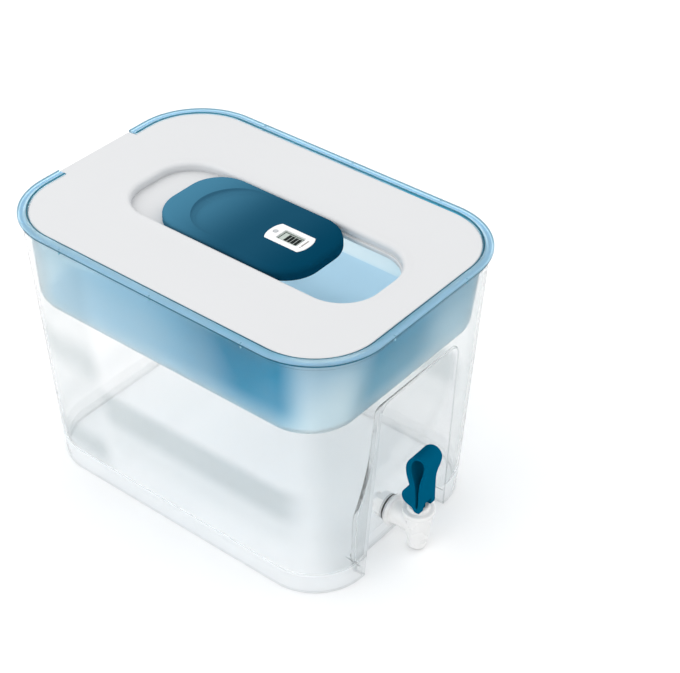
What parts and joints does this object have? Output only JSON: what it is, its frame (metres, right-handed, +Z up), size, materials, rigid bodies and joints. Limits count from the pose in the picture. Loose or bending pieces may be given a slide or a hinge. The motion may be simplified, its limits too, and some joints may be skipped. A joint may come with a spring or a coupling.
{
  "type": "gravity water filter with tap",
  "caption": "Clear tapered tank with a front tap, a translucent hopper hung in it, a white lid with a sliding cover and filter indicator, and a filter cartridge in the hopper's well.",
  "frame": {"origin": "bottom centre of the whole object's box: on the surface that the base stands on, midway between the tap's front and the rim's back", "axes": "+Z up; -Y is the front, with the tap; +X is to the right for someone looking at the front's back, that is looking along +Y"},
  "size_m": [0.2556, 0.3745, 0.2589],
  "materials": {
    "clear_tank": "clear moulded plastic, polished",
    "blue_hopper": "translucent tinted plastic, polished",
    "white_lid": "fine satin moulded plastic",
    "petrol_blue": "satin moulded plastic",
    "white_trim": "satin moulded plastic",
    "display_glass": "glossy display with dark bars",
    "grey_button": "soft matte",
    "board_green": "circuit board",
    "steel": "stainless",
    "filter_media": "granular",
    "mesh_white": "fine mesh",
    "seal_rubber": "silicone",
    "tap_white": "satin moulded plastic",
    "lever_blue": "satin moulded plastic"
  },
  "bodies": {
    "tank": {"tank": "clear_tank", "tap_body": "tap_white", "tap_bonnet": "tap_white", "tap_gasket_outer": "seal_rubber", "tap_gasket_inner": "seal_rubber", "tap_nut": "tap_white"},
    "hopper": {"hopper": "blue_hopper"},
    "cartridge": {"cartridge_body": "white_trim", "cartridge_cap": "white_trim", "cartridge_media": "filter_media", "cartridge_mesh_top": "mesh_white", "cartridge_mesh_bottom": "mesh_white", "cartridge_seal": "seal_rubber"},
    "pull_ring": {"cartridge_ring": "white_trim"},
    "lid": {"lid": "white_lid"},
    "cover": {"slider": "petrol_blue", "memo_housing": "white_trim", "memo_display": "display_glass", "memo_board": "board_green", "memo_battery": "steel", "memo_back_cover": "white_trim"},
    "memo_button": {"memo_button": "grey_button"},
    "tap_stem": {"tap_stem": "lever_blue", "tap_stem_ring": "seal_rubber", "tap_valve_seal": "seal_rubber", "tap_lever_pin": "steel", "tap_spring": "steel"},
    "tap_lever": {"tap_lever": "lever_blue"}
  },
  "joints": [
    {"name": "hopper_lift", "type": "slide", "parent": "tank", "child": "hopper", "axis": [0, 0, 1], "range_m": [0, 0.18]},
    {"name": "cartridge_lift", "type": "slide", "parent": "hopper", "child": "cartridge", "axis": [0, 0, 1], "range_m": [0, 0.11]},
    {"name": "pull_ring_fold", "type": "hinge", "parent": "cartridge", "child": "pull_ring", "pos_m": [0, 0.04695, 0.2013], "axis": [-1, 0, 0], "range_deg": [0, 90]},
    {"name": "lid_lift", "type": "slide", "parent": "cartridge", "child": "lid", "axis": [0, 0, 1], "range_m": [0, 0.06]},
    {"name": "cover_slide", "type": "slide", "parent": "lid", "child": "cover", "axis": [0, 1, 0], "range_m": [-0.058, 0.034]},
    {"name": "button_press", "type": "slide", "parent": "cover", "child": "memo_button", "axis": [0, 0, -1], "range_m": [0, 0.0007], "stiffness_N_per_m": 300, "springref_m": -0.001},
    {"name": "lever_tilt", "type": "hinge", "parent": "tap_stem", "child": "tap_lever", "pos_m": [0, -0.17325, 0.056], "axis": [1, 0, 0], "range_deg": [0, 40], "stiffness_Nm_per_rad": 0.12, "springref_deg": -28.65},
    {"name": "stem_lift", "type": "slide", "parent": "tank", "child": "tap_stem", "axis": [0, 0, 1], "range_m": [0, 0.0034], "deforming": ["tap_spring"]}
  ],
  "couplings": [
    {"joint": "stem_lift", "follows": "lever_tilt", "m_per_rad": 0.00484}
  ]
}
